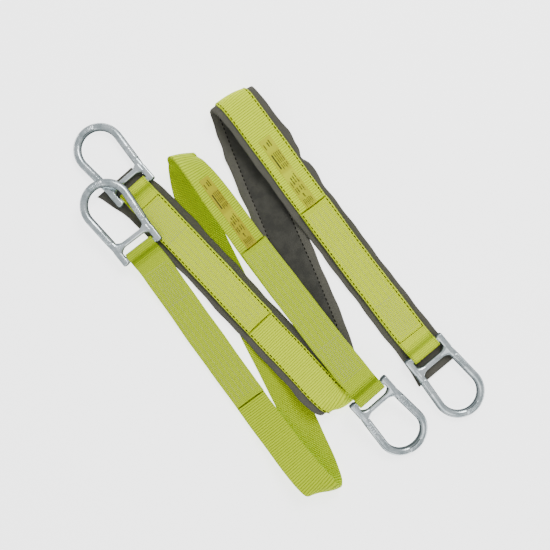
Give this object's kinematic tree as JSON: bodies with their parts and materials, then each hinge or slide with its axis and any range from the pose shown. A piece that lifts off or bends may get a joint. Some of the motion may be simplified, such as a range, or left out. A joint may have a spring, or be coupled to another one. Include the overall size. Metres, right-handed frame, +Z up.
{
  "type": "flat web sling",
  "caption": "Flat web lifting sling pair with forged D-rings sewn into the webbing ends; one sling is plain and one has a wear pad. Both lie folded.",
  "frame": {"origin": "middle of the bounding box, on the surface that the folded slings lie on", "axes": "+X along the straps, +Z up"},
  "size_m": [0.7102, 0.3391, 0.0642],
  "materials": {
    "webbing": "matte",
    "wear_pad": "matte",
    "label": "matte",
    "light_thread": "matte",
    "dark_thread": "matte",
    "ring_steel": "satin zinc"
  },
  "bodies": {
    "straps": {"plain_webbing": "webbing", "plain_label": "label", "plain_splice_stitching_a": "light_thread", "plain_splice_stitching_b": "light_thread", "plain_tail_tack_a": "dark_thread", "plain_tail_tack_b": "dark_thread", "padded_webbing": "webbing", "wear_pad": "wear_pad", "padded_label": "label", "padded_splice_stitching_a": "light_thread", "padded_splice_stitching_b": "light_thread", "padded_tail_tack_a": "dark_thread", "padded_tail_tack_b": "dark_thread", "pad_edge_seam_left": "dark_thread", "pad_edge_seam_right": "dark_thread", "pad_cross_seam_a": "dark_thread", "pad_cross_seam_b": "dark_thread"},
    "plain_ring_a": {"plain_ring_a": "ring_steel"},
    "plain_ring_b": {"plain_ring_b": "ring_steel"},
    "padded_ring_a": {"padded_ring_a": "ring_steel"},
    "padded_ring_b": {"padded_ring_b": "ring_steel"}
  },
  "joints": [
    {"name": "plain_ring_a_swing", "type": "hinge", "parent": "straps", "child": "plain_ring_a", "pos_m": [-0.151, -0.128, 0.0212], "axis": [-0.0087, 1, 0], "range_deg": [0, 150]},
    {"name": "plain_ring_b_swing", "type": "hinge", "parent": "straps", "child": "plain_ring_b", "pos_m": [0.228, 0.017, 0.0398], "axis": [0.0785, -0.9969, 0], "range_deg": [0, 160]},
    {"name": "padded_ring_a_swing", "type": "hinge", "parent": "straps", "child": "padded_ring_a", "pos_m": [-0.231, -0.082, 0.0114], "axis": [-0.0698, 0.9976, 0], "range_deg": [0, 150]},
    {"name": "padded_ring_b_swing", "type": "hinge", "parent": "straps", "child": "padded_ring_b", "pos_m": [0.231, 0.124, 0.016], "axis": [0.0523, -0.9986, 0], "range_deg": [0, 150]}
  ],
  "couplings": [
    {"joint": "padded_ring_a_swing", "follows": "plain_ring_a_swing", "ratio": 1}
  ]
}
